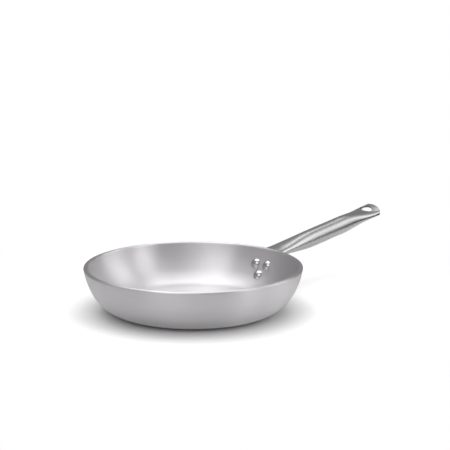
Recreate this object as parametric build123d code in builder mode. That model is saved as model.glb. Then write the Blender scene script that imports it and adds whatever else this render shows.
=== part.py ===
from build123d import *
import os
from math import asin, cos, degrees, pi, radians, sin, tan

# Omelette pan: a thick spun aluminium body with a one-piece tubular stainless handle and three rivets.
# The origin is the middle of the underside of the base, +Z is up, and the handle runs along +X.
# Lengths are millimetres and angles are degrees.

# Pan body: a heel arc leaves the flat base and turns up by the heel angle, and a side arc follows it, tangent,
# to the rim, where the wall leans out by the rim lean
RIM_RADIUS = 120.3
BODY_HEIGHT = 50.0
BASE_RADIUS = 75.0
HEEL_ANGLE = 57.5
RIM_LEAN = 7.8
BODY_THICKNESS = 5.0
RIM_ROUNDING = 1.8

# Rivets: drops are measured down the inner wall from the rim, and the pattern sits a little aside of the handle
UPPER_RIVET_DROP = 18.3
UPPER_RIVET_PITCH = 16.4
LOWER_RIVET_DROP = 29.2
RIVET_ASIDE = 1.5
RIVET_HEAD_RADIUS = 6.0
RIVET_HEAD_HEIGHT = 2.8
RIVET_SHANK_RADIUS = 3.2
RIVET_TAIL_RADIUS = 4.8
RIVET_TAIL_HEIGHT = 2.2
SHANK_CLEARANCE = 0.05

# Riveting plate: the flattened end of the tube, bent down along the outside of the wall
PLATE_THICKNESS = 2.6
PLATE_HALF_WIDTH = 15.4
PLATE_TOE_RADIUS = 9.5
PLATE_EDGE_ROUNDING = 0.9
PLATE_CLEARANCE = 0.05

# Handle tube: an oval root at the plate, a round middle and an end pressed into a shallow arch
HANDLE_REACH = 188.2
HANDLE_RISE = 7.6
AXIS_DROP = 10.3
TUBE_RADIUS = 10.3
TUBE_WALL = 1.4
ROOT_LENGTH = 75.0
ROOT_HALF_WIDTH = 13.6
ROOT_HALF_HEIGHT = 5.4
ROOT_LIFT = 2.3
FLARE_LENGTH = 16.0
FLARE_HALF_WIDTH = 2.4
PRESS_SETBACK = 62.2
PRESS_LENGTH = 52.0
END_HALF_WIDTH = 12.2
END_CROWN = 4.2
END_SKIRT = 1.0
END_SHEET = 1.4
END_LIFT = 1.5
END_TURN = 15.0
END_ROUNDING = 7.0
END_ROUNDING_MARGIN = 0.3

# Hanging hole: a blunt drop with its point toward the pan and its round end a little aside
HOLE_SETBACK = 7.6
HOLE_LENGTH = 15.0
HOLE_RADIUS = 7.2
HOLE_POINT_RADIUS = 2.6
HOLE_ASIDE = 1.2

# Cuts run past the pieces by this much
OVERRUN = 4.0

# Stations of the tube: shares of the root's length, then of the pressed length
ROOT_STATION_SHARES = (-0.06, 0.04, 0.14, 0.24, 0.4, 0.6, 0.8, 1.1)
PRESS_STATION_SHARES = (-0.2, 0.1, 0.3, 0.5, 0.7, 0.9, 1.05)

# Section of the tube: where its two folds lie round the tube, how much of a turn each fold takes,
# how square the pressed crown is, and how many points draw the crown and the underside
FOLD_ANGLE = 36.0
FOLD_SPAN = 14.0
CROWN_EXPONENT = 2.4
CROWN_POINTS = 17
UNDERSIDE_POINTS = 11

# Radii and centres of the two arcs of the outer face. Each arc's run and climb are its radius times a factor
# of its angles, and the two arcs together run from the base's edge to the rim and climb the body's height
level_angle = 90 - HEEL_ANGLE
heel_run_factor = cos(radians(level_angle))
heel_climb_factor = 1 - sin(radians(level_angle))
side_run_factor = cos(radians(RIM_LEAN)) - cos(radians(level_angle))
side_climb_factor = sin(radians(level_angle)) - sin(radians(RIM_LEAN))
wall_run = RIM_RADIUS - BASE_RADIUS
arcs_factor = heel_run_factor * side_climb_factor - side_run_factor * heel_climb_factor
heel_radius = (wall_run * side_climb_factor - BODY_HEIGHT * side_run_factor) / arcs_factor
side_radius = (BODY_HEIGHT * heel_run_factor - wall_run * heel_climb_factor) / arcs_factor
heel_centre = (BASE_RADIUS, heel_radius)
side_centre = (
    RIM_RADIUS - side_radius * cos(radians(RIM_LEAN)),
    BODY_HEIGHT + side_radius * sin(radians(RIM_LEAN)),
)


def wall_turn(height, grow):
    """Angle of the wall's outward normal below level where the grown outer face reaches a height."""
    arcs_meet = side_centre[1] - (side_radius + grow) * sin(radians(level_angle))
    centre, radius = (side_centre, side_radius) if height >= arcs_meet else (heel_centre, heel_radius)
    return degrees(asin((centre[1] - height) / (radius + grow)))


def wall_point(turn, grow):
    """Radius and height of the grown outer face where its normal lies a turn below level."""
    centre, radius = (side_centre, side_radius) if turn <= level_angle else (heel_centre, heel_radius)
    reach = radius + grow
    return centre[0] + reach * cos(radians(turn)), centre[1] - reach * sin(radians(turn))


def pan_form(grow):
    """Filled solid of revolution inside the body's outer face, with that face grown outward."""
    rim_turn = wall_turn(BODY_HEIGHT, grow)
    with BuildPart() as form:
        with BuildSketch(Plane.XZ):
            with BuildLine():
                heel = CenterArc(heel_centre, heel_radius + grow, -90, HEEL_ANGLE)
                side = CenterArc(side_centre, side_radius + grow, -level_angle, level_angle - rim_turn)
                Polyline(side @ 1, (0, BODY_HEIGHT), (0, -grow), heel @ 0)
            make_face()
        revolve(axis=Axis.Z)
    return form.part


def rivet_place(drop, offset):
    """Plane on the inner wall, offset sideways from the handle, its normal pointing into the bowl."""
    turn = wall_turn(BODY_HEIGHT - drop, -BODY_THICKNESS)
    radius, height = wall_point(turn, -BODY_THICKNESS)
    azimuth = asin(offset / radius)
    outward = Vector(cos(azimuth), sin(azimuth), 0)
    across = Vector(-sin(azimuth), cos(azimuth), 0)
    inward = -outward * cos(radians(turn)) + Vector(0, 0, sin(radians(turn)))
    return Plane(origin=outward * radius + Vector(0, 0, height), x_dir=across, z_dir=inward)


rivet_places = {
    "rivet_upper_left": rivet_place(UPPER_RIVET_DROP, RIVET_ASIDE + UPPER_RIVET_PITCH / 2),
    "rivet_upper_right": rivet_place(UPPER_RIVET_DROP, RIVET_ASIDE - UPPER_RIVET_PITCH / 2),
    "rivet_lower": rivet_place(LOWER_RIVET_DROP, RIVET_ASIDE),
}
bore_radius = RIVET_SHANK_RADIUS + SHANK_CLEARANCE
plate_stack = BODY_THICKNESS + PLATE_CLEARANCE + PLATE_THICKNESS
bore_depth = plate_stack + 2 * OVERRUN
bowl_space = pan_form(-BODY_THICKNESS)

# Pan body: one shell with a flat base, a rounded rim and a bore for each rivet
with BuildPart() as pan_body:
    add(pan_form(0))
    add(bowl_space, mode=Mode.SUBTRACT)
    rim_edges = pan_body.edges().filter_by(GeomType.CIRCLE).group_by(Axis.Z)[-1]
    fillet(rim_edges, radius=RIM_ROUNDING)
    with Locations(*[place.offset(OVERRUN) for place in rivet_places.values()]):
        Hole(radius=bore_radius, depth=bore_depth)

# Riveting plate: it follows the wall, wide under the tube and narrowed to a round toe at the lower rivet
plate_top = BODY_HEIGHT - AXIS_DROP + ROOT_LIFT
plate_inner_form = pan_form(PLATE_CLEARANCE)
plate_outer_form = pan_form(PLATE_CLEARANCE + PLATE_THICKNESS)
upper_rivet_height = BODY_HEIGHT - UPPER_RIVET_DROP
tail_turn = wall_turn(BODY_HEIGHT - LOWER_RIVET_DROP, -BODY_THICKNESS)
toe_height = wall_point(tail_turn, PLATE_CLEARANCE + PLATE_THICKNESS)[1]
with BuildPart() as riveting_plate:
    add(plate_outer_form)
    with BuildSketch(Plane.YZ.offset(BASE_RADIUS)):
        with BuildSketch(mode=Mode.PRIVATE) as toe:
            with Locations((RIVET_ASIDE, toe_height)):
                Circle(PLATE_TOE_RADIUS)
        with BuildSketch(mode=Mode.PRIVATE) as shoulders:
            with Locations((0, plate_top)):
                Rectangle(2 * PLATE_HALF_WIDTH, plate_top - upper_rivet_height, align=(Align.CENTER, Align.MAX))
        make_hull(toe.edges() + shoulders.edges())
    extrude(amount=wall_run + OVERRUN, mode=Mode.INTERSECT)
    outline_edges = riveting_plate.faces().sort_by(Axis.X)[-1].edges()
    fillet(outline_edges, radius=PLATE_EDGE_ROUNDING)
    add(plate_inner_form, mode=Mode.SUBTRACT)


press_start = HANDLE_REACH - PRESS_SETBACK


def eased(share):
    """Ease a share between 0 and 1, level at both ends."""
    share = min(max(share, 0), 1)
    return share * share * (3 - 2 * share)


def tube_section(run, inset):
    """Closed section across the tube at a run beyond the rim, drawn in by an inset."""
    root = eased(1 - run / ROOT_LENGTH)
    press = eased((run - press_start) / PRESS_LENGTH)
    middle = 1 - root - press
    flare = FLARE_HALF_WIDTH * eased(1 - run / FLARE_LENGTH)
    half_width = TUBE_RADIUS * middle + ROOT_HALF_WIDTH * root + END_HALF_WIDTH * press + flare - inset
    crown = TUBE_RADIUS * middle + ROOT_HALF_HEIGHT * root + END_CROWN * press - inset
    depth = TUBE_RADIUS * (1 - root) + ROOT_HALF_HEIGHT * root - inset
    skirt = max(END_SKIRT - inset, 0)
    sheet = max(END_SHEET - 2 * inset, 0)
    exponent = 2 + (CROWN_EXPONENT - 2) * press
    fold = radians(FOLD_ANGLE)
    span = radians(FOLD_SPAN)
    turn = radians(END_TURN) * press

    def turned(across, up):
        """Turn a point of the section about the tube's axis."""
        return across * cos(turn) - up * sin(turn), across * sin(turn) + up * cos(turn)

    def crown_point(angle):
        """Point on the crown or, below the spring line, on a side that the press sets upright."""
        level, rise = cos(angle), sin(angle)
        if rise < 0:
            upright = press if level > 0 else -press
            across = level * (1 - press) + upright
            return turned(half_width * across, rise * (depth * (1 - press) + skirt / sin(fold) * press))
        return turned(half_width * level, crown * (1 - abs(level) ** exponent) ** (1 / exponent))

    def fold_point(side):
        """Lowest point of the folded edge between the side and the underside."""
        angle = fold + span / 2
        across = cos(angle) * half_width * (1 - press) + (half_width - sheet / 2) * press
        down = sin(angle) * depth * (1 - press) + (skirt + sheet / 4) * press
        return turned(side * across, -down)

    def underside_point(share):
        """Point on the underside, round where it isn't pressed and arched where it is."""
        angle = fold + span + (pi - 2 * (fold + span)) * share
        across = cos(angle) * half_width * (1 - press) + (half_width - sheet) * cos(pi * share) * press
        arch = (crown - sheet + skirt) * sin(pi * share) ** (2 / exponent) - skirt
        return turned(across, arch * press - depth * sin(angle) * (1 - press))

    crown_line = [
        crown_point(-fold + (pi + 2 * fold) * step / (CROWN_POINTS - 1)) for step in range(CROWN_POINTS)
    ]
    underside_line = [
        underside_point(1 - step / (UNDERSIDE_POINTS - 1)) for step in range(UNDERSIDE_POINTS)
    ]
    axis_height = BODY_HEIGHT - AXIS_DROP + run * tan(radians(HANDLE_RISE))
    lift = ROOT_LIFT * root + END_LIFT * press
    plane = Plane(
        origin=(RIM_RADIUS + run, 0, axis_height + lift),
        x_dir=(0, 1, 0),
        z_dir=(cos(radians(HANDLE_RISE)), 0, sin(radians(HANDLE_RISE))),
    )
    with BuildSketch(plane) as section:
        with BuildLine():
            Spline(*crown_line)
            ThreePointArc(crown_line[-1], fold_point(-1), underside_line[0])
            Spline(*underside_line)
            ThreePointArc(underside_line[-1], fold_point(1), crown_line[0])
        make_face()
    return section.sketch


root_runs = [ROOT_LENGTH * share for share in ROOT_STATION_SHARES]
press_runs = [press_start + PRESS_LENGTH * share for share in PRESS_STATION_SHARES]
tip_run = HANDLE_REACH + OVERRUN
tip_x = RIM_RADIUS + HANDLE_REACH

# Handle: the tube with its rounded tip and hanging hole, joined to the plate
with BuildPart() as handle:
    for run in root_runs + press_runs + [tip_run]:
        add(tube_section(run, 0))
    loft()
    with BuildSketch(Plane.XY):
        with Locations((tip_x - END_ROUNDING, 0)):
            Rectangle(
                END_ROUNDING + 2 * OVERRUN,
                2 * (END_HALF_WIDTH + OVERRUN),
                align=(Align.MIN, Align.CENTER),
            )
            Ellipse(END_ROUNDING, END_HALF_WIDTH + END_ROUNDING_MARGIN, mode=Mode.SUBTRACT)
    extrude(amount=2 * BODY_HEIGHT, mode=Mode.SUBTRACT)
    with BuildSketch(Plane.XY):
        with BuildSketch(mode=Mode.PRIVATE) as drop_ends:
            with Locations((tip_x - HOLE_SETBACK - HOLE_RADIUS, HOLE_ASIDE)):
                Circle(HOLE_RADIUS)
            with Locations((tip_x - HOLE_SETBACK - HOLE_LENGTH + HOLE_POINT_RADIUS, 0)):
                Circle(HOLE_POINT_RADIUS)
        make_hull(drop_ends.edges())
    extrude(amount=2 * BODY_HEIGHT, mode=Mode.SUBTRACT)
    add(plate_inner_form, mode=Mode.SUBTRACT)
    add(riveting_plate.part)
    for run in root_runs[1:] + press_runs[:4]:
        add(tube_section(run, TUBE_WALL))
    loft(mode=Mode.SUBTRACT)
    with Locations(*[place.offset(OVERRUN) for place in rivet_places.values()]):
        Hole(radius=bore_radius, depth=bore_depth)

# Rivets: a domed head in the bowl and a flatter domed tail on the plate, both trimmed to what they seat on
head_form = pan_form(-BODY_THICKNESS - SHANK_CLEARANCE)
tail_form = pan_form(PLATE_CLEARANCE + PLATE_THICKNESS + SHANK_CLEARANCE)
rivets = {}
for name, place in rivet_places.items():
    section_plane = Plane(origin=place.origin, x_dir=place.x_dir, z_dir=-place.y_dir)
    with BuildPart() as head:
        with BuildSketch(section_plane):
            with BuildLine():
                dome = TangentArc((0, RIVET_HEAD_HEIGHT), (RIVET_HEAD_RADIUS, 0), tangent=(1, 0))
                Polyline(dome @ 1, (0, 0), dome @ 0)
            make_face()
        revolve(axis=Axis(place.origin, place.z_dir))
        add(head_form, mode=Mode.INTERSECT)
    with BuildPart() as rivet:
        with BuildSketch(section_plane):
            with BuildLine():
                dome = TangentArc(
                    (0, -plate_stack - RIVET_TAIL_HEIGHT), (RIVET_TAIL_RADIUS, -plate_stack), tangent=(1, 0)
                )
                Polyline(dome @ 1, (RIVET_TAIL_RADIUS, -BODY_THICKNESS), (0, -BODY_THICKNESS), dome @ 0)
            make_face()
        revolve(axis=Axis(place.origin, place.z_dir))
        add(tail_form, mode=Mode.SUBTRACT)
        with Locations(place.offset(RIVET_HEAD_HEIGHT / 2)):
            Cylinder(
                RIVET_SHANK_RADIUS,
                plate_stack + (RIVET_HEAD_HEIGHT + RIVET_TAIL_HEIGHT) / 2,
                align=(Align.CENTER, Align.CENTER, Align.MAX),
            )
        add(head.part)
    rivets[name] = rivet

# Each piece is labelled and written under its own name
os.makedirs("parts", exist_ok=True)
for name, piece in {"pan_body": pan_body, "handle": handle, **rivets}.items():
    piece.part.label = name
    export_step(piece.part, f"parts/{name}.step")
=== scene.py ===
import logging
from dataclasses import dataclass
from enum import Enum
from math import cos, pi, radians, sin

import bpy
import numpy as np
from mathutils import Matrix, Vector

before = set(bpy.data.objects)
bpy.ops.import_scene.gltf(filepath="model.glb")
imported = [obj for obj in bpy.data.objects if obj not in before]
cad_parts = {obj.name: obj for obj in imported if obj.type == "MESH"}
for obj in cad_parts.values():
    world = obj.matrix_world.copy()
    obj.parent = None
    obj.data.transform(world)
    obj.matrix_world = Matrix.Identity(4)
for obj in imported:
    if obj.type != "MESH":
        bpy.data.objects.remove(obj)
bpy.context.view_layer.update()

# Omelette pan: a spun aluminium body, a drawn stainless handle and three polished rivets.
# Lengths are metres in the frame's axes: the handle runs along +X and the base stands on Z = 0.

log = logging.getLogger("omelette_pan")

# The photograph's view: the handle's axis is turned by this angle from the view's right
VIEW_TURN = radians(45.8)
VIEW_ACROSS = Vector((cos(VIEW_TURN), -sin(VIEW_TURN), 0.0))
VIEW_AHEAD = Vector((sin(VIEW_TURN), cos(VIEW_TURN), 0.0))
UPWARD = Vector((0.0, 0.0, 1.0))

# Guards against dividing by nothing on the pan's axis, and edge-on to a soft box's face
AXIS_GUARD = 1e-5
FACE_GUARD = 1e-4
FACE_START = 2e-4

# Middle of a factor that runs from 0 to 1
MIDDLE = 0.5

# Turned circles: how many of the slow rings that change the tone go with one fine ring
COARSE_SHARE = 0.13

# Scratches: turn and stretch of the cells, width of a line in cells, and the slow noise that keeps some
SCRATCH_TURN = (0.3, 0.2, 0.9)
SCRATCH_STRETCH = (1.0, 9.0, 3.0)
SCRATCH_WIDTH = 0.012
SCRATCH_KEEP_SCALE = 90.0
SCRATCH_KEEP_FROM = 0.56
SCRATCH_KEEP_FULL = 0.64


class Kind(Enum):
    """Where a rivet sits on the pan."""

    UPPER_LEFT = "rivet_upper_left"
    UPPER_RIGHT = "rivet_upper_right"
    LOWER = "rivet_lower"


class NodeGraph:
    """A node tree that is filled by short calls."""

    def __init__(self, tree: bpy.types.NodeTree) -> None:
        """Keep the tree.

        Args:
            tree: The node tree to fill.
        """
        self.tree = tree

    def add(self, kind: str, inputs: dict | None = None, **settings: object) -> bpy.types.Node:
        """Add a node.

        Args:
            kind: Blender's name of the node type.
            inputs: Values or output sockets by input name or number.
            **settings: Attributes to set on the node.

        Returns:
            The new node.
        """
        node = self.tree.nodes.new(kind)
        for key, value in settings.items():
            setattr(node, key, value)
        for key, value in (inputs or {}).items():
            if isinstance(value, bpy.types.NodeSocket):
                self.tree.links.new(value, node.inputs[key])
            else:
                node.inputs[key].default_value = value
        return node

    def group(self, tree: bpy.types.NodeTree, **inputs: object) -> bpy.types.NodeOutputs:
        """Place a shared group.

        Args:
            tree: The group.
            **inputs: Values or output sockets by input name.

        Returns:
            The group's outputs.
        """
        return self.add("ShaderNodeGroup", inputs, node_tree=tree).outputs

    def math(self, operation: str, *values: object) -> bpy.types.NodeSocket:
        """Add a Math node.

        Args:
            operation: The operation's name.
            *values: Numbers or sockets, in order.

        Returns:
            The result's socket.
        """
        return self.add("ShaderNodeMath", dict(enumerate(values)), operation=operation).outputs[0]

    def span(
        self, value: object, low: object, high: object, out_low: float, out_high: float
    ) -> bpy.types.NodeSocket:
        """Map a value from one range to another, smoothly and held at the ends.

        Args:
            value: The socket to map.
            low: Where the range starts.
            high: Where the range ends.
            out_low: The result at the start.
            out_high: The result at the end.

        Returns:
            The mapped socket.
        """
        inputs = {"Value": value, 1: low, 2: high, 3: out_low, 4: out_high}
        node = self.add("ShaderNodeMapRange", inputs, interpolation_type="SMOOTHSTEP")
        return node.outputs["Result"]

    def swing(self, factor: object, amount: float, centre: float = 0.0) -> bpy.types.NodeSocket:
        """Turn a factor from 0 to 1 into a swing either way.

        Args:
            factor: The factor's socket.
            amount: The swing from end to end.
            centre: The result at the factor's middle.

        Returns:
            The result's socket.
        """
        scaled = self.math("MULTIPLY", self.math("SUBTRACT", factor, MIDDLE), amount)
        return self.math("ADD", scaled, centre)

    def noise(
        self, vector: object, scale: object, detail: float, roughness: float = 0.5, distortion: float = 0.0
    ) -> bpy.types.NodeSocket:
        """Add a noise texture.

        Args:
            vector: The coordinates' socket.
            scale: The noise's scale.
            detail: How many finer layers it has.
            roughness: How strong the finer layers are.
            distortion: How far it swirls.

        Returns:
            The noise's factor.
        """
        inputs = {
            "Vector": vector,
            "Scale": scale,
            "Detail": detail,
            "Roughness": roughness,
            "Distortion": distortion,
        }
        return self.add("ShaderNodeTexNoise", inputs).outputs["Fac"]


def new_group(
    name: str, inputs: dict[str, float | None], outputs: tuple[str, ...]
) -> tuple[bpy.types.NodeTree, NodeGraph]:
    """Start a shader node group.

    Args:
        name: The group's name.
        inputs: The default of each input, or None for a vector.
        outputs: The names of the outputs, all single values.

    Returns:
        The group and its graph.
    """
    tree = bpy.data.node_groups.new(name, "ShaderNodeTree")
    for label, default in inputs.items():
        kind = "NodeSocketVector" if default is None else "NodeSocketFloat"
        socket = tree.interface.new_socket(name=label, in_out="INPUT", socket_type=kind)
        if default is not None:
            socket.default_value = default
    for label in outputs:
        tree.interface.new_socket(name=label, in_out="OUTPUT", socket_type="NodeSocketFloat")
    return tree, NodeGraph(tree)


def turned_marks() -> bpy.types.NodeTree:
    """Build the marks that a spinning lathe leaves: circles about Z that fade in and out.

    The profile place is the radius plus the height, which grows steadily from the floor's middle over the
    wall to the rim. Noise along it, with slow change round the axis, gives arcs of uneven depth.

    Returns:
        The node group, with a height and a tone.
    """
    tree, graph = new_group("turned_marks", {"Vector": None, "Lines": 1.0, "Arcs": 1.0}, ("Height", "Tone"))
    source = graph.add("NodeGroupInput").outputs
    axes = graph.add("ShaderNodeSeparateXYZ", {0: source["Vector"]}).outputs
    squares = [graph.math("POWER", axes[axis], 2.0) for axis in ("X", "Y")]
    radius = graph.math("SQRT", graph.math("ADD", *squares))
    place = graph.math("ADD", radius, axes["Z"])
    safe_radius = graph.math("ADD", radius, AXIS_GUARD)
    across, along = (
        graph.math("MULTIPLY", graph.math("DIVIDE", axes[axis], safe_radius), source["Arcs"])
        for axis in ("X", "Y")
    )
    steps = graph.math("MULTIPLY", place, source["Lines"])
    fine = graph.add("ShaderNodeCombineXYZ", {0: steps, 1: across, 2: along}).outputs[0]
    coarse_steps = graph.math("MULTIPLY", steps, COARSE_SHARE)
    coarse = graph.add("ShaderNodeCombineXYZ", {0: coarse_steps, 1: across, 2: along}).outputs[0]
    sink = graph.add("NodeGroupOutput")
    tree.links.new(graph.noise(fine, scale=1.0, detail=3.0, roughness=0.65), sink.inputs["Height"])
    tree.links.new(graph.noise(coarse, scale=1.0, detail=2.0), sink.inputs["Tone"])
    return tree


def drawn_marks() -> bpy.types.NodeTree:
    """Build the marks of polishing along a piece: long thin streaks that follow the vector's X axis.

    Returns:
        The node group, with a height and a tone.
    """
    tree, graph = new_group("drawn_marks", {"Vector": None, "Lines": 1.0, "Stretch": 1.0}, ("Height", "Tone"))
    source = graph.add("NodeGroupInput").outputs
    axes = graph.add("ShaderNodeSeparateXYZ", {0: source["Vector"]}).outputs
    lines = source["Lines"]
    along = graph.math("MULTIPLY", axes["X"], graph.math("DIVIDE", lines, source["Stretch"]))
    across = graph.math("MULTIPLY", axes["Y"], lines)
    up = graph.math("MULTIPLY", axes["Z"], lines)
    place = graph.add("ShaderNodeCombineXYZ", {0: along, 1: across, 2: up}).outputs[0]
    sink = graph.add("NodeGroupOutput")
    tree.links.new(graph.noise(place, scale=1.0, detail=4.0, roughness=0.65), sink.inputs["Height"])
    tree.links.new(graph.noise(place, scale=0.17, detail=2.0), sink.inputs["Tone"])
    return tree


def handling_marks() -> bpy.types.NodeTree:
    """Build the marks of use: cloudy patches and a few fine scratches.

    A scratch is a thin line of a stretched cell pattern's edges, kept where a slow noise is high.

    Returns:
        The node group, with clouds and scratches.
    """
    inputs = {"Vector": None, "Cloud": 1.0, "Scratch": 1.0}
    tree, graph = new_group("handling_marks", inputs, ("Clouds", "Scratches"))
    source = graph.add("NodeGroupInput").outputs
    vector = source["Vector"]
    clouds = graph.noise(vector, scale=source["Cloud"], detail=5.0, roughness=0.6, distortion=0.4)
    turned = graph.add(
        "ShaderNodeMapping", {"Vector": vector, "Rotation": SCRATCH_TURN, "Scale": SCRATCH_STRETCH}
    )
    cells = graph.add(
        "ShaderNodeTexVoronoi",
        {"Vector": turned.outputs[0], "Scale": source["Scratch"]},
        feature="DISTANCE_TO_EDGE",
    ).outputs["Distance"]
    line = graph.span(cells, 0.0, SCRATCH_WIDTH, 1.0, 0.0)
    slow = graph.noise(vector, scale=SCRATCH_KEEP_SCALE, detail=2.0)
    keep = graph.span(slow, SCRATCH_KEEP_FROM, SCRATCH_KEEP_FULL, 0.0, 1.0)
    sink = graph.add("NodeGroupOutput")
    tree.links.new(clouds, sink.inputs["Clouds"])
    tree.links.new(graph.math("MULTIPLY", line, keep), sink.inputs["Scratches"])
    return tree


class Marks:
    """The shader node groups that the finishes share, each built once."""

    def __init__(self) -> None:
        """Build the groups."""
        self.turned = turned_marks()
        self.drawn = drawn_marks()
        self.handling = handling_marks()


@dataclass(frozen=True)
class MetalFinish:
    """A metal surface.

    Attributes:
        name: The material's name.
        colour: Its colour, in linear values.
        roughness: Its middle roughness.
        anisotropy: How far its highlights are drawn out across the marks.
        grain_turn: Turn of the drawn-out highlights, as a share of a full turn.
        tone: How far the colour varies.
        relief: Depth of the marks in metres.
        cloud: Scale of the cloudy patches.
        cloud_rough: How far they change the roughness, from end to end.
        scratch: Scale of the scratches.
    """

    name: str
    colour: tuple[float, float, float]
    roughness: float
    anisotropy: float
    grain_turn: float
    tone: float
    relief: float
    cloud: float
    cloud_rough: float
    scratch: float

    def start(self) -> tuple[bpy.types.Material, NodeGraph, bpy.types.Node, bpy.types.NodeSocket]:
        """Start the material with its shader.

        Returns:
            The material, its graph, its shader and the object coordinates.
        """
        material = bpy.data.materials.new(self.name)
        material.use_nodes = True
        material.node_tree.nodes.clear()
        graph = NodeGraph(material.node_tree)
        inputs = {
            "Metallic": 1.0,
            "Roughness": self.roughness,
            "Anisotropic": self.anisotropy,
            "Anisotropic Rotation": self.grain_turn,
        }
        shader = graph.add("ShaderNodeBsdfPrincipled", inputs)
        graph.add("ShaderNodeOutputMaterial", {"Surface": shader.outputs[0]})
        place = graph.add("ShaderNodeTexCoord").outputs["Object"]
        return material, graph, shader, place

    def lay_round(self, graph: NodeGraph, shader: bpy.types.Node, axis: str) -> None:
        """Lay the shader's tangent round an axis.

        Args:
            graph: The material's graph.
            shader: The material's shader.
            axis: The axis's letter.
        """
        tangent = graph.add("ShaderNodeTangent", direction_type="RADIAL", axis=axis)
        graph.tree.links.new(tangent.outputs[0], shader.inputs["Tangent"])

    def wear(self, graph: NodeGraph, marks: Marks, place: bpy.types.NodeSocket) -> bpy.types.NodeOutputs:
        """Place the marks of use.

        Args:
            graph: The material's graph.
            marks: The shared groups.
            place: The object coordinates.

        Returns:
            The clouds and the scratches.
        """
        return graph.group(marks.handling, Vector=place, Cloud=self.cloud, Scratch=self.scratch)

    def connect(
        self,
        graph: NodeGraph,
        shader: bpy.types.Node,
        tone: bpy.types.NodeSocket,
        rough: bpy.types.NodeSocket,
        height: bpy.types.NodeSocket,
    ) -> None:
        """Feed the shader with the varying colour, roughness and relief.

        Args:
            graph: The material's graph.
            shader: The material's shader.
            tone: A factor round 0.5 that lightens and darkens the colour.
            rough: The roughness.
            height: The marks' height, from 0 to 1.
        """
        dark = tuple(c * (1 - self.tone) for c in self.colour) + (1.0,)
        pale = tuple(min(c * (1 + self.tone), 1.0) for c in self.colour) + (1.0,)
        mix = graph.add("ShaderNodeMix", {"Factor": tone, 6: dark, 7: pale}, data_type="RGBA")
        graph.tree.links.new(mix.outputs[2], shader.inputs["Base Color"])
        graph.tree.links.new(rough, shader.inputs["Roughness"])
        bump = graph.add("ShaderNodeBump", {"Height": height, "Distance": self.relief, "Strength": 1.0})
        graph.tree.links.new(bump.outputs[0], shader.inputs["Normal"])


@dataclass(frozen=True)
class SpunAluminium(MetalFinish):
    """Satin aluminium with turned circles about Z.

    Attributes:
        lines: How many fine rings there are to a metre of the profile.
        arcs: How fast a ring changes round the axis.
        ring_tone: How far the slow rings change the tone, from end to end.
        ring_rough: How far they change the roughness, from end to end.
        scratch_tone: How much paler a scratch is.
        scratch_depth: Depth of a scratch over the depth of the marks.
        floor_rougher: How much rougher the pan's floor is than its wall.
        floor_top: Height under which a point lies on the floor.
        wall_start: Height over which it lies on the wall.
    """

    name: str = "satin_aluminium_spun"
    colour: tuple[float, float, float] = (0.80, 0.785, 0.80)
    roughness: float = 0.45
    anisotropy: float = 0.9
    grain_turn: float = 0.25
    tone: float = 0.04
    relief: float = 0.000004
    cloud: float = 26.0
    cloud_rough: float = 0.12
    scratch: float = 34.0
    lines: float = 2600.0
    arcs: float = 2.2
    ring_tone: float = 0.6
    ring_rough: float = 0.10
    scratch_tone: float = 0.3
    scratch_depth: float = 0.4
    floor_rougher: float = 0.25
    floor_top: float = 0.0054
    wall_start: float = 0.0090

    def build(self, marks: Marks) -> bpy.types.Material:
        """Build the material.

        Args:
            marks: The shared groups.

        Returns:
            The material.
        """
        material, graph, shader, place = self.start()
        self.lay_round(graph, shader, "Z")
        rings = graph.group(marks.turned, Vector=place, Lines=self.lines, Arcs=self.arcs)
        wear = self.wear(graph, marks, place)
        paler = graph.math("MULTIPLY", wear["Scratches"], self.scratch_tone)
        tone = graph.math("ADD", graph.swing(rings["Tone"], self.ring_tone, MIDDLE), paler)
        height_up = graph.add("ShaderNodeSeparateXYZ", {0: place}).outputs["Z"]
        floor_rough = graph.span(height_up, self.floor_top, self.wall_start, self.floor_rougher, 0.0)
        rough = graph.swing(wear["Clouds"], self.cloud_rough, self.roughness)
        rough = graph.math("ADD", rough, graph.swing(rings["Tone"], self.ring_rough))
        rough = graph.math("ADD", rough, floor_rough)
        scratches = graph.math("MULTIPLY", wear["Scratches"], self.scratch_depth)
        height = graph.math("SUBTRACT", rings["Height"], scratches)
        self.connect(graph, shader, tone, rough, height)
        return material


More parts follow.
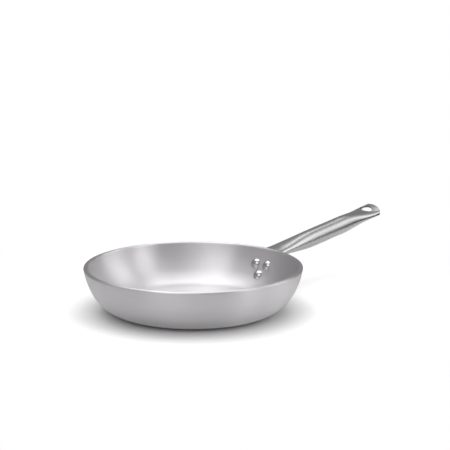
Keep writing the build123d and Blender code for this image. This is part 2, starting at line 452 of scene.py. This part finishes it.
@dataclass(frozen=True)
class DrawnStainless(MetalFinish):
    """Polished stainless steel with fine streaks along the handle.

    Attributes:
        lines: How many streaks there are to a metre across them.
        stretch: Length of a streak over its width.
        streak_tone: How far the streaks change the tone, from end to end.
        streak_rough: How far they change the roughness, from end to end.
        scratch_depth: Depth of a scratch over the depth of the marks.
        rise: Angle by which the handle climbs.
    """

    name: str = "polished_stainless_drawn"
    colour: tuple[float, float, float] = (0.56, 0.55, 0.56)
    roughness: float = 0.26
    anisotropy: float = 0.7
    grain_turn: float = 0.0
    tone: float = 0.06
    relief: float = 0.000003
    cloud: float = 40.0
    cloud_rough: float = 0.10
    scratch: float = 55.0
    lines: float = 2400.0
    stretch: float = 60.0
    streak_tone: float = 0.7
    streak_rough: float = 0.12
    scratch_depth: float = 0.5
    rise: float = radians(7.6)

    def build(self, marks: Marks) -> bpy.types.Material:
        """Build the material.

        Args:
            marks: The shared groups.

        Returns:
            The material.
        """
        material, graph, shader, place = self.start()
        self.lay_round(graph, shader, "X")
        level = graph.add("ShaderNodeMapping", {"Vector": place, "Rotation": (0.0, self.rise, 0.0)})
        streaks = graph.group(marks.drawn, Vector=level.outputs[0], Lines=self.lines, Stretch=self.stretch)
        wear = self.wear(graph, marks, place)
        tone = graph.swing(streaks["Tone"], self.streak_tone, MIDDLE)
        rough = graph.swing(wear["Clouds"], self.cloud_rough, self.roughness)
        rough = graph.math("ADD", rough, graph.swing(streaks["Tone"], self.streak_rough))
        scratches = graph.math("MULTIPLY", wear["Scratches"], self.scratch_depth)
        height = graph.math("SUBTRACT", streaks["Height"], scratches)
        self.connect(graph, shader, tone, rough, height)
        return material


@dataclass(frozen=True)
class PolishedRivet(MetalFinish):
    """Bright rivet steel with light scuffs."""

    name: str = "polished_rivet_bright"
    colour: tuple[float, float, float] = (0.66, 0.66, 0.67)
    roughness: float = 0.14
    anisotropy: float = 0.0
    grain_turn: float = 0.0
    tone: float = 0.05
    relief: float = 0.000006
    cloud: float = 260.0
    cloud_rough: float = 0.10
    scratch: float = 420.0

    def build(self, marks: Marks) -> bpy.types.Material:
        """Build the material.

        Args:
            marks: The shared groups.

        Returns:
            The material.
        """
        material, graph, shader, place = self.start()
        clouds = self.wear(graph, marks, place)["Clouds"]
        rough = graph.swing(clouds, self.cloud_rough, self.roughness)
        self.connect(graph, shader, clouds, rough, clouds)
        return material


def view_direction(azimuth: float, elevation: float) -> Vector:
    """Turn a direction seen from the camera into the frame.

    Args:
        azimuth: Degrees to the right of straight away from the camera.
        elevation: Degrees above level.

    Returns:
        The unit vector.
    """
    a, e = radians(azimuth), radians(elevation)
    right, away, up = sin(a) * cos(e), cos(a) * cos(e), sin(e)
    return VIEW_ACROSS * right + VIEW_AHEAD * away + UPWARD * up


@dataclass(frozen=True)
class SoftBox:
    """A flat soft light, far from the pan.

    Attributes:
        name: What it is for.
        azimuth: Degrees to the right of straight away from the camera.
        elevation: Degrees above level.
        width: Half its width over its distance.
        height: Half its height over its distance.
        soft: Half the width of its fading edge over its distance.
        glow: Brightness of its face.
    """

    name: str
    azimuth: float
    elevation: float
    width: float
    height: float
    soft: float
    glow: float

    def window(self) -> dict[str, object]:
        """Work out the window's values.

        Returns:
            The values by name.
        """
        ahead = view_direction(self.azimuth, self.elevation)
        across = view_direction(self.azimuth + 90, 0)
        return {
            "Ahead": ahead,
            "Across": across,
            "Up": across.cross(ahead),
            "Width": self.width,
            "Height": self.height,
            "Soft": self.soft,
        }


SOFT_BOXES = (
    SoftBox("overhead", azimuth=-12, elevation=80, width=0.5, height=0.46, soft=0.15, glow=2.2),
    SoftBox("right", azimuth=74, elevation=26, width=0.33, height=0.33, soft=0.2, glow=1.45),
    SoftBox("front right", azimuth=118, elevation=22, width=0.2, height=0.35, soft=0.1, glow=1.6),
    SoftBox("front", azimuth=180, elevation=35, width=0.15, height=0.25, soft=0.1, glow=0.5),
    SoftBox("front left", azimuth=-150, elevation=38, width=0.3, height=0.32, soft=0.12, glow=1.05),
    SoftBox("back left", azimuth=-50, elevation=52, width=0.4, height=0.22, soft=0.15, glow=0.8),
)


def soft_window() -> bpy.types.NodeTree:
    """Build the window of light that a soft box makes in the surroundings.

    A direction is measured in the box's own axes. Its across and up parts, each over its ahead part, are
    places on the box's flat face, and the window fades out smoothly past the face's half width and height.

    Returns:
        The node group.
    """
    directions = dict.fromkeys(("Direction", "Across", "Up", "Ahead"))
    sizes = {"Width": 1.0, "Height": 1.0, "Soft": 0.1}
    tree, graph = new_group("soft_window", {**directions, **sizes}, ("Window",))
    source = graph.add("NodeGroupInput").outputs

    def part(axis: str) -> bpy.types.NodeSocket:
        """Measure the direction along one of the box's axes.

        Args:
            axis: The axis's name among the inputs.

        Returns:
            The measure's socket.
        """
        inputs = {0: source["Direction"], 1: source[axis]}
        return graph.add("ShaderNodeVectorMath", inputs, operation="DOT_PRODUCT").outputs["Value"]

    ahead = graph.math("MAXIMUM", part("Ahead"), FACE_GUARD)
    window = graph.math("GREATER_THAN", ahead, FACE_START)
    for axis, half in (("Across", "Width"), ("Up", "Height")):
        place = graph.math("ABSOLUTE", graph.math("DIVIDE", part(axis), ahead))
        low = graph.math("SUBTRACT", source[half], source["Soft"])
        high = graph.math("ADD", source[half], source["Soft"])
        window = graph.math("MULTIPLY", window, graph.span(place, low, high, 1.0, 0.0))
    tree.links.new(window, graph.add("NodeGroupOutput").inputs["Window"])
    return tree


@dataclass(frozen=True)
class Studio:
    """The round sheet of pale paper and the surroundings with their soft boxes.

    Attributes:
        floor_radius: Radius of the paper.
        floor_middle: Radius of the innermost ring of its mesh.
        floor_rings: How many rings the mesh has.
        floor_turns: How many points a ring has.
        floor_tone: The paper's own colour.
        lift: Light that the camera sees on top of the lit paper; it is left out round the pan's base, which
            paints shade there.
        painted_shade_fade_start: Radius at which that light sets in; inside it the paper shows painted shade
            round the base.
        painted_shade_fade_end: Radius from which that light is full, where the painted shade ends.
        white_start: Radius at which the paper starts to fade to plain white for the camera.
        white_full: Radius from which it is plain white.
        gloss_share: Share of that light and that white which reflections see.
        ambient: Strength of the surroundings' even light.
        under: Share of all the surroundings' light that is left below the horizon.
        horizon_soft: How softly it falls off there, as a share of the way to straight down.
    """

    floor_radius: float = 0.40
    floor_middle: float = 0.05
    floor_rings: int = 24
    floor_turns: int = 96
    floor_tone: float = 0.72
    lift: float = 0.44
    painted_shade_fade_start: float = 0.075
    painted_shade_fade_end: float = 0.160
    white_start: float = 0.22
    white_full: float = 0.36
    gloss_share: float = 0.15
    ambient: float = 0.27
    under: float = 0.10
    horizon_soft: float = 0.015

    def floor(self) -> bpy.types.Object:
        """Build the floor disc, a fan of rings whose radius grows from the middle outwards.

        Returns:
            The floor's object.
        """
        turns = np.linspace(0, 2 * pi, self.floor_turns, endpoint=False)
        radii = np.geomspace(self.floor_middle, self.floor_radius, self.floor_rings)
        grid_r, grid_t = np.meshgrid(radii, turns, indexing="ij")
        places = (grid_r * np.cos(grid_t), grid_r * np.sin(grid_t), np.zeros_like(grid_r))
        rings = np.stack(places, axis=-1)
        points = np.concatenate([np.zeros((1, 3)), rings.reshape(-1, 3)])
        count = len(turns)
        step = np.arange(count)
        onward = (step + 1) % count
        faces = np.stack([np.zeros(count, int), 1 + step, 1 + onward], axis=-1).tolist()
        for ring in range(len(radii) - 1):
            low, high = 1 + ring * count, 1 + (ring + 1) * count
            faces += np.stack([low + step, high + step, high + onward, low + onward], axis=-1).tolist()
        mesh = bpy.data.meshes.new("floor")
        mesh.from_pydata(points.tolist(), [], faces)
        obj = bpy.data.objects.new("floor", mesh)
        bpy.context.scene.collection.objects.link(obj)
        mesh.materials.append(self.floor_material())
        return obj

    def floor_material(self) -> bpy.types.Material:
        """Build the floor's paper: matt, with painted shade round the pan's base, and for the camera paler
        outwards until it is plain white.

        Returns:
            The material.
        """
        material = bpy.data.materials.new("studio_paper")
        material.use_nodes = True
        material.node_tree.nodes.clear()
        graph = NodeGraph(material.node_tree)
        paths = graph.add("ShaderNodeLightPath").outputs
        seen = graph.math("MAXIMUM", paths["Is Camera Ray"], paths["Is Transmission Ray"])
        gloss = graph.math("MULTIPLY", paths["Is Glossy Ray"], self.gloss_share)
        seen = graph.math("MAXIMUM", seen, gloss)
        place = graph.add("ShaderNodeTexCoord").outputs["Object"]
        radius = graph.add("ShaderNodeVectorMath", {0: place}, operation="LENGTH").outputs["Value"]
        tone = (self.floor_tone, self.floor_tone, self.floor_tone, 1.0)
        paper = graph.add("ShaderNodeBsdfDiffuse", {"Color": tone})
        # Painted shade: the extra light is nothing at the pan's base and full further out. The paper is
        # painted darker round the base for the camera, and at the gloss share for reflections.
        lift = graph.span(radius, self.painted_shade_fade_start, self.painted_shade_fade_end, 0.0, self.lift)
        own = graph.add("ShaderNodeEmission", {"Strength": graph.math("MULTIPLY", seen, lift)})
        both = graph.add("ShaderNodeAddShader", {0: paper.outputs[0], 1: own.outputs[0]})
        white = graph.add("ShaderNodeEmission", {"Strength": 1.0})
        edge = graph.math("MULTIPLY", seen, graph.span(radius, self.white_start, self.white_full, 0.0, 1.0))
        all_three = graph.add("ShaderNodeMixShader", {0: edge, 1: both.outputs[0], 2: white.outputs[0]})
        graph.add("ShaderNodeOutputMaterial", {"Surface": all_three.outputs[0]})
        return material

    def world(self) -> None:
        """Build the surroundings: white for the camera, and soft boxes over an even grey for the light."""
        world = bpy.data.worlds.new("studio_surroundings")
        world.use_nodes = True
        world.node_tree.nodes.clear()
        graph = NodeGraph(world.node_tree)
        direction = graph.add("ShaderNodeTexCoord").outputs["Generated"]
        window = soft_window()
        total = self.ambient
        for box in SOFT_BOXES:
            glow = graph.group(window, Direction=direction, **box.window())["Window"]
            total = graph.math("ADD", graph.math("MULTIPLY", glow, box.glow), total)
        height = graph.add("ShaderNodeSeparateXYZ", {0: direction}).outputs["Z"]
        total = graph.math("MULTIPLY", total, graph.span(height, -self.horizon_soft, 0.0, self.under, 1.0))
        paths = graph.add("ShaderNodeLightPath").outputs
        seen = graph.math("MAXIMUM", paths["Is Camera Ray"], paths["Is Transmission Ray"])
        strength = graph.add("ShaderNodeMix", {"Factor": seen, 2: total, 3: 1.0}, data_type="FLOAT")
        inputs = {"Color": (1.0, 1.0, 1.0, 1.0), "Strength": strength.outputs[0]}
        back = graph.add("ShaderNodeBackground", inputs)
        graph.add("ShaderNodeOutputWorld", {"Surface": back.outputs[0]})
        bpy.context.scene.world = world


@dataclass(frozen=True)
class Viewpoint:
    """The camera at the photograph's viewing angle.

    Attributes:
        aside: How far the camera stands to the right of the pan's axis.
        back: How far it stands before the pan's axis.
        height: How high it stands.
        pitch: How far it looks down.
        lens: Focal length in millimetres.
        sensor: Width of its sensor in millimetres.
        nudge: Shift of the picture's middle, as a share of its width.
        reach: How far it sees.
    """

    aside: float = 0.03521
    back: float = 2.02872
    height: float = 0.5425
    pitch: float = radians(12.448)
    lens: float = 152.74
    sensor: float = 36.0
    nudge: float = 0.00111
    reach: float = 100.0

    def build(self) -> bpy.types.Object:
        """Place the camera and make it the scene's.

        Returns:
            The camera's object.
        """
        data = bpy.data.cameras.new("photo_camera")
        data.sensor_width = self.sensor
        data.lens = self.lens
        data.shift_x = -self.nudge
        data.shift_y = self.nudge
        data.clip_end = self.reach
        obj = bpy.data.objects.new("photo_camera", data)
        bpy.context.scene.collection.objects.link(obj)
        obj.location = VIEW_ACROSS * self.aside - VIEW_AHEAD * self.back + UPWARD * self.height
        obj.rotation_euler = (pi / 2 - self.pitch, 0.0, -VIEW_TURN)
        bpy.context.scene.camera = obj
        return obj


def dress(node: str, material: bpy.types.Material) -> None:
    """Give a carried-over solid its finish.

    Args:
        node: The solid's name.
        material: The finish.
    """
    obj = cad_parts[node]
    for slot in obj.material_slots:
        slot.material = material
    log.info("%s wears %s", node, material.name)


class PanBody:
    """The spun body."""

    def dress(self, marks: Marks) -> None:
        """Give the body its finish.

        Args:
            marks: The shared groups.
        """
        dress("pan_body", SpunAluminium().build(marks))


class Handle:
    """The drawn handle."""

    def dress(self, marks: Marks) -> None:
        """Give the handle its finish.

        Args:
            marks: The shared groups.
        """
        dress("handle", DrawnStainless().build(marks))


class Rivets:
    """The three rivets."""

    def dress(self, marks: Marks) -> None:
        """Give every rivet its finish.

        Args:
            marks: The shared groups.
        """
        material = PolishedRivet().build(marks)
        for kind in Kind:
            dress(kind.value, material)


def main() -> None:
    """Build the studio, the camera and the pan's finishes."""
    logging.basicConfig(level=logging.INFO, format="%(name)s: %(message)s")
    bpy.context.scene.view_settings.view_transform = "Standard"
    studio = Studio()
    studio.floor()
    studio.world()
    Viewpoint().build()
    marks = Marks()
    for sub_assembly in (PanBody(), Handle(), Rivets()):
        sub_assembly.dress(marks)
        log.info("%s done", type(sub_assembly).__name__)


if __name__ == "__main__":
    main()
